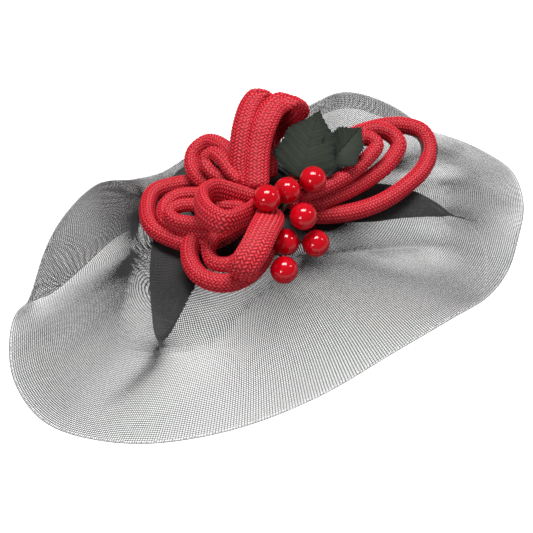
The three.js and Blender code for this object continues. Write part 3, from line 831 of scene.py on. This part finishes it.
# %% [markdown]
# ## The brim's shape
# The brim is one length of crin with its inner edge gathered round the base. Its shape comes
# from two closed curves: the shoulder, where the sheet crests, and the free edge. A point on
# the sheet has two numbers: its turn round the brim, and its reach from the base to the edge.
# At two places the front lobe is pleated over its neighbour, in a Z-fold: the sheet runs past,
# doubles back and runs on, so three layers lie over each other between the two fold lines.

# %% Brim curves
BRIM = [
    ((119, -51, 6), (148, -54, 0)), ((121, -36, 12), (152, -31, 4)),
    ((113, -25, 20), (142, -13, 8)), ((106, -12, 26), (125, 0, 14)),
    ((96, 18, 30), (104, 26, 10)), ((75, 37, 32), (82, 48, 10)),
    ((51, 39, 26), (55, 50, 4)), ((15, 47, 4), (16, 51, -12)),
    ((-13, 47, 4), (-14, 51, -12)), ((-38, 34, 7), (-40, 33, -9)),
    ((-60, 15, 24), (-58, 14, -8)), ((-82, 10, 31), (-76, 6, -8)),
    ((-105, -7, 30), (-98, -13, -4)), ((-121, -25, 22), (-119, -30, 0)),
    ((-129, -44, 10), (-140, -40, 4)), ((-125, -56, 3), (-150, -57, -2)),
    ((-128, -77, -1), (-153, -82, -6)), ((-122, -97, -4), (-145, -109, -8)),
    ((-104, -109, -6), (-124, -127, -10)), ((-79, -117, -5), (-94, -140, -10)),
    ((-44, -122, -2), (-54, -146, -8)), ((-8, -118, 1), (-10, -142, -6)),
    ((30, -109, 3), (37, -129, -4)), ((61, -100, 4), (74, -119, -2)),
    ((83, -93, 3), (97, -113, 0)), ((99, -80, 1), (116, -99, 0)),
    ((112, -65, 2), (132, -79, 0)),
]
STATIONS = len(BRIM)
GATHERED_RADIUS = 32
GATHERED_HEIGHT = 6.8
RIM_CLEAR_RADIUS = 45
RIM_CLEAR_HEIGHT = 6.4
SHOULDER = np.array([pair[0] for pair in BRIM], dtype=float)
EDGE = np.array([pair[1] for pair in BRIM], dtype=float)


def between(a, b, c, d, s):
    """A Catmull-Rom step from b to c."""
    s = s[:, None]
    return 0.5 * (2 * b + (c - a) * s + (2 * a - 5 * b + 4 * c - d) * s**2
                  + (3 * b - a - 3 * c + d) * s**3)


def on_hoop(hoop, station):
    """Points on a closed curve through its stations."""
    low = np.floor(station).astype(int)
    a, b, c, d = (hoop[(low + k) % STATIONS] for k in (-1, 0, 1, 2))
    return between(a, b, c, d, station - low)


def smooth_brim(station, reach):
    """Points of the brim before it is pleated, in millimetres."""
    shoulder = on_hoop(SHOULDER, station)
    edge = on_hoop(EDGE, station)
    away = shoulder * (1, 1, 0)
    far = np.linalg.norm(away, axis=1, keepdims=True)
    away = away / far
    inner = away * GATHERED_RADIUS + (0, 0, GATHERED_HEIGHT)
    rim = away * np.minimum(RIM_CLEAR_RADIUS, (GATHERED_RADIUS + far) / 2) + (0, 0, RIM_CLEAR_HEIGHT)
    middle = (rim + shoulder) / 2
    row = np.stack([2 * inner - rim, inner, rim, middle, shoulder, edge, 2 * edge - shoulder])
    low = np.minimum(np.floor(reach * 4).astype(int), 3)
    each = np.arange(len(station))
    a, b, c, d = (row[low + k, each] for k in range(4))
    return between(a, b, c, d, reach * 4 - low)


# %% [markdown]
# ### The two pleats
# Each pleat is given by its two fold lines: at a few reaches, the station of the line below
# and of the line above. The two lines meet at the pleat's tip, and beyond it the cloth opens
# out again. `side` says whether the layer with the higher station lies on top.

# %% Pleats
PLEATS = [
    {"reach": (0.0, 0.25, 0.32, 0.37, 0.42, 0.48, 0.575, 0.62),
     "low": (13.6, 13.6, 13.7, 14.1, 16.1, 17.25, 18.05, 18.3),
     "high": (18.9, 18.7, 18.5, 18.4, 18.35, 18.32, 18.3, 18.3), "tip": 0.62, "side": 1},
    {"reach": (0.0, 0.3, 0.42, 0.5, 0.6, 0.66, 0.76),
     "low": (24.2, 24.6, 25.4, 26.0, 26.35, 26.35, 26.33),
     "high": (28.6, 28.4, 28.0, 27.65, 27.1, 26.6, 26.34), "tip": 0.74, "side": -1},
]
STACK = 4.0  # millimetres from the lowest to the highest layer


def ease(x):
    """A smooth step from 0 to 1."""
    x = np.clip(x, 0, 1)
    return x * x * (3 - 2 * x)


def fold_line(pleat, key, reach):
    """A fold line's station at each reach, with its corners rounded off."""
    fine = np.linspace(0, 1, 401)
    line = np.interp(fine, pleat["reach"], pleat[key])
    padded_line = np.concatenate([np.full(12, line[0]), line, np.full(12, line[-1])])
    return np.interp(reach, fine, np.convolve(padded_line, np.full(25, 1 / 25), mode="valid"))


def rise(x, x0, x1, y0, y1, m0, m1):
    """A cubic from (x0, y0) to (x1, y1) with the slopes m0 and m1."""
    wide = x1 - x0
    s = np.clip((x - x0) / wide, 0, 1)
    return ((2 * s**3 - 3 * s**2 + 1) * y0 + (s**3 - 2 * s**2 + s) * wide * m0
            + (3 * s**2 - 2 * s**3) * y1 + (s**3 - s**2) * wide * m1)


def pleated_brim(station, reach):
    """Points of the finished brim, in millimetres, and how much each lies inside a fold."""
    moved = station.copy()
    lift = np.zeros(len(station))
    folded = np.zeros(len(station))
    for pleat in PLEATS:
        low = fold_line(pleat, "low", reach)
        high = fold_line(pleat, "high", reach)
        middle = (low + high) / 2
        half = np.maximum((high - low) / 2, 0.02)
        x = station - middle
        x = x - STATIONS * np.round(x / STATIONS)
        turn_at = half * 0.6
        outer = 1.2 + half * 2.1
        placed = np.where(
            x < -turn_at, rise(x, -outer, -turn_at, -outer, half, 1, 0),
            np.where(x > turn_at, rise(x, turn_at, outer, -half, outer, 0, 1),
                     rise(x, -turn_at, turn_at, half, -half, 0, 0)))
        open_again = ease((reach - pleat["tip"]) / 0.15)
        strong = ease(half / 0.28) * (1 - open_again)
        inside = np.abs(x) < outer
        moved += np.where(inside, (placed - x) * strong, 0)
        layer = ease((x / turn_at + 1) / 2)
        layer = layer if pleat["side"] > 0 else 1 - layer
        fade = 1 - ease((np.abs(placed) - half) / (outer - half))
        deep = ease(half / 0.8)
        lift += STACK * layer * fade * deep * (1 - open_again)
        folded += np.exp(-((x / (turn_at * 0.95)) ** 6)) * ease(half / 0.1) * (1 - open_again)
    point = smooth_brim(moved, reach)
    point[:, 2] += lift
    return point, folded


# %% [markdown]
# ### Crin cloth
# Crin is a net of stiff nylon threads, about one thread a millimetre each way. The threads are
# too many to model one by one, so the sheet's Alpha draws them: it is 1 on a thread and 0 in a
# hole. The pattern follows the cloth through its UV map: one number counts the threads round
# the brim, the other the millimetres in from the free edge. Where the cloth is gathered its
# threads crowd together, so their share of the surface goes along as an attribute. It is
# measured on the mesh and then raised where the brim should look denser, so it is a drawing of
# close-packed cloth and not a count of threads. Near the base the raise is partly painted shade,
# the flower's shadow, and past the first pleat's tip a narrow raised band is painted shade in
# the valley. In the folds the cloth is drawn denser and darker, partly for the extra layers and
# partly as painted shade, and a noise gives painted flecks of light. Each thread is drawn
# lighter along its middle, a painted highlight. This brim is doubled, and the under layer's
# threads run a little askew, which gives the rippling light and dark bands that two nets make.

# %% Brim mesh
THREADS_ROUND = 752
THREAD_PITCH = 1.13
THREAD_WIDE = 0.204
LAYER_GAP = 0.5
COLUMNS = 676
ROWS = 60


def crowding_and_shade(station, reach):
    """How much wider the threads are drawn in each part of the brim; near the base and in the valley past
    the first pleat this is also painted shade.
    """
    front = ease((station - 18.6) / 1.6) * ease((25.0 - station) / 2.0)
    near = ease((station - 8.6) / 1.0) * ease((12.2 - station) / 2.0) * ease((reach - 0.3) / 0.3)
    wrapped = np.mod(station + 2.5, STATIONS)
    # Near the base the threads are drawn much wider: partly the gathered cloth, partly painted shade, the
    # flower's shadow on the brim.
    inner = 1 - ease((reach - 0.08) / 0.42)
    # A narrow band along the valley past the first pleat's tip is drawn denser: painted shade.
    bend = 18.25 - 3.2 * np.maximum(reach - 0.64, 0)
    beyond_tip = ease((reach - 0.5) / 0.1) * ease((0.84 - reach) / 0.2)
    crease_shade = np.exp(-(((station - bend) / 0.22) ** 2)) * beyond_tip
    rear = ease(wrapped / 1.5) * ease((15.0 - wrapped) / 2.0) * (1 - ease((reach - 0.27) / 0.16))
    return 1 + 0.3 * front + 0.3 * near + 3.0 * inner + 3 * rear + 1.6 * crease_shade


def brim_layer(name, sign):
    """One of the two layers, with its thread values, above or below the middle surface."""
    mesh, turn, reach = grid_mesh(name, COLUMNS, ROWS)
    station = turn * STATIONS
    point, folded = pleated_brim(station, reach)
    step = 0.004
    before, _ = pleated_brim(station - step * STATIONS, reach)
    after, _ = pleated_brim(station + step * STATIONS, reach)
    nearer, _ = pleated_brim(station, np.maximum(reach - 0.02, 0))
    further, _ = pleated_brim(station, np.minimum(reach + 0.02, 1))
    normal = unit(np.cross(further - nearer, after - before))
    spread = np.linalg.norm(after - before, axis=1) / (2 * step) / THREADS_ROUND
    share = np.clip(THREAD_WIDE / np.maximum(spread, 1e-3), 0.12, 0.7)
    share = np.clip(share * crowding_and_shade(station, reach), 0.12, 0.92)
    column = np.rint(turn * COLUMNS).astype(int)
    row = np.rint(reach * ROWS).astype(int)
    order = np.lexsort((row, column))
    grid = smooth_brim(station, reach)[order].reshape(COLUMNS + 1, ROWS + 1, 3)
    gone = np.cumsum(np.linalg.norm(np.diff(grid, axis=1), axis=2)[:, ::-1], axis=1)[:, ::-1]
    inwards = np.concatenate([gone, np.zeros((COLUMNS + 1, 1))], axis=1).ravel()
    from_edge = np.empty(len(order))
    from_edge[order] = inwards
    close = np.sin(math.pi * np.clip(reach, 0, 1)) ** 0.25
    point = point + normal * (sign * LAYER_GAP / 2 * np.maximum(close, 0))[:, None]
    under = 0.0 if sign > 0 else 1.0
    place_vertices(mesh, point * MM, share=share, folded=np.clip(folded, 0, 1),
                   under=np.full(len(turn), under))
    stretch_uv(mesh, turn, from_edge)
    return mesh


def doubled_brim():
    """Both layers, joined at their edges. The grid's upper layer faces down, so it is turned."""
    bm = bmesh.new()
    bm.from_mesh(brim_layer("upper", 1))
    upper_faces = len(bm.faces)
    bm.from_mesh(brim_layer("lower", -1))
    bm.faces.ensure_lookup_table()
    bmesh.ops.reverse_faces(bm, faces=bm.faces[:upper_faces])
    bmesh.ops.remove_doubles(bm, verts=bm.verts, dist=1e-6)
    mesh = bpy.data.meshes.new("crin_layers")
    bm.to_mesh(mesh)
    bm.free()
    return mesh


# %% Crin paint
def crin_paint():
    """Dark threads with a painted highlight along each, and holes between them; in the folds denser,
    darker cloth, partly painted shade, with painted glints.
    """
    material, tree, skin = new_paint("crin_mesh")
    uv = add_node(tree, "ShaderNodeTexCoord").outputs["UV"]
    apart = add_node(tree, "ShaderNodeSeparateXYZ", {0: uv})
    share = add_node(tree, "ShaderNodeAttribute", attribute_name="share").outputs["Fac"]
    folded = add_node(tree, "ShaderNodeAttribute", attribute_name="folded").outputs["Fac"]
    under = add_node(tree, "ShaderNodeAttribute", attribute_name="under").outputs["Fac"]
    skew = sum_of(tree, "MULTIPLY", under, 2 / THREADS_ROUND)
    round_it = sum_of(tree, "MULTIPLY", apart.outputs[0], float(THREADS_ROUND))
    inwards = sum_of(tree, "MULTIPLY", apart.outputs[1], 1 / THREAD_PITCH)
    warp = sum_of(tree, "ADD", round_it, sum_of(tree, "MULTIPLY", inwards, skew))
    weft = sum_of(tree, "SUBTRACT", inwards, sum_of(tree, "MULTIPLY", round_it, skew))

    def thread(count, wide):
        """1 on a thread, 0 between two threads, and the thread's round profile."""
        off = sum_of(tree, "ABSOLUTE", sum_of(tree, "SUBTRACT", sum_of(tree, "FRACT", count), 0.5))
        off = sum_of(tree, "MULTIPLY", off, 2.0)
        mask = sum_of(tree, "LESS_THAN", off, wide)
        return mask, sum_of(tree, "SUBTRACT", 1.0, sum_of(tree, "DIVIDE", off, wide))

    # In the folds the threads are drawn wider: partly the extra layers, partly painted shade.
    fold_density_and_shade = sum_of(tree, "MULTIPLY", folded, 0.6)
    warp_mask, warp_round = thread(warp, sum_of(tree, "ADD", share, fold_density_and_shade))
    weft_wide = sum_of(tree, "ADD", THREAD_WIDE / THREAD_PITCH, fold_density_and_shade)
    weft_mask, weft_round = thread(weft, weft_wide)
    edge_row = sum_of(tree, "LESS_THAN", apart.outputs[1], 0.3)
    cover = sum_of(tree, "MAXIMUM", sum_of(tree, "MAXIMUM", warp_mask, weft_mask), edge_row)
    tree.links.new(cover, skin.inputs["Alpha"])
    tall = sum_of(tree, "MAXIMUM", sum_of(tree, "MULTIPLY", warp_mask, warp_round),
                  sum_of(tree, "MULTIPLY", weft_mask, weft_round))
    bump = add_node(tree, "ShaderNodeBump", {"Strength": 0.6, "Distance": 0.00012, "Height": tall})
    tree.links.new(bump.outputs[0], skin.inputs["Normal"])
    # A fine noise gives painted glints on the dark cloth in the folds.
    glints = add_node(
        tree, "ShaderNodeTexNoise",
        {"Vector": add_node(tree, "ShaderNodeTexCoord").outputs["Object"], "Scale": 1100.0,
         "Detail": 1.0},
    ).outputs[0]
    glints = add_node(tree, "ShaderNodeMapRange",
                      {"Value": glints, "From Min": 0.5, "From Max": 0.72}).outputs[0]
    # Each thread is near black at its edges and grey along its middle: a painted highlight on a round
    # thread.
    thread_dark_and_highlight = blend_colours(tree, tall, (0.002, 0.002, 0.002, 1), (0.055, 0.055, 0.056, 1))
    # In the folds the cloth is near black, painted shade, with the painted glints on it.
    fold_shade_and_glints = blend_colours(tree, glints, (0.001, 0.001, 0.001, 1), (0.11, 0.11, 0.113, 1))
    colour = blend_colours(tree, folded, thread_dark_and_highlight, fold_shade_and_glints)
    tree.links.new(colour, skin.inputs["Base Color"])
    skin.inputs["Roughness"].default_value = 0.42
    skin.inputs["Specular IOR Level"].default_value = 0.5
    return material


# %% Make the brim
crin = finish_piece(doubled_brim(), crin_paint(), ["crin_brim"], weld=0)
crin.name = "crin_layers"
print("brim triangles:", sum(len(p.vertices) - 2 for p in crin.data.polygons))

# %% [markdown]
# ### The hem thread
# The doubled cloth's inner fold is caught down by one pale thread near the right end. It is a
# thin wire of its own that lies on the upper layer, along chosen stations and reaches.

# %% Hem thread
hem_station = np.array([26.1, 25.95, 25.7, 25.35, 24.9, 24.4, 24.05])
hem_reach = np.array([0.72, 0.75, 0.785, 0.83, 0.88, 0.93, 0.96])
hem_points, _ = pleated_brim(hem_station, hem_reach)
hem_mesh, hem_length = rolled("hem_thread", (hem_points + (0, 0, 0.75)) * MM, 0.5 * MM, 0.4 * MM,
                              0.6 * MM, 8)
hem_paint = cloth_paint("pale_thread", (0.42, 0.42, 0.42, 1), (0.62, 0.62, 0.62, 1), 1500,
                        (1, 1, 1), 0.3, 0.5, 0.1)
finish_piece(hem_mesh, hem_paint, [])
print("hem thread, mm:", round(hem_length / MM))

# %% [markdown]
# A real brim like this is a strip of doubled crin, cut flat and gathered. The strip's size here
# is a guess for one layer. The shape above was drawn and not made from such a strip, so its
# free edge and its width differ from a real strip's, and its gathered edge holds less cloth
# than a real one's.
# The last lines print the area of both brim layers.

brim_area = sum(p.area for p in crin.data.polygons)
print("both brim layers, square metres:", round(brim_area, 4))
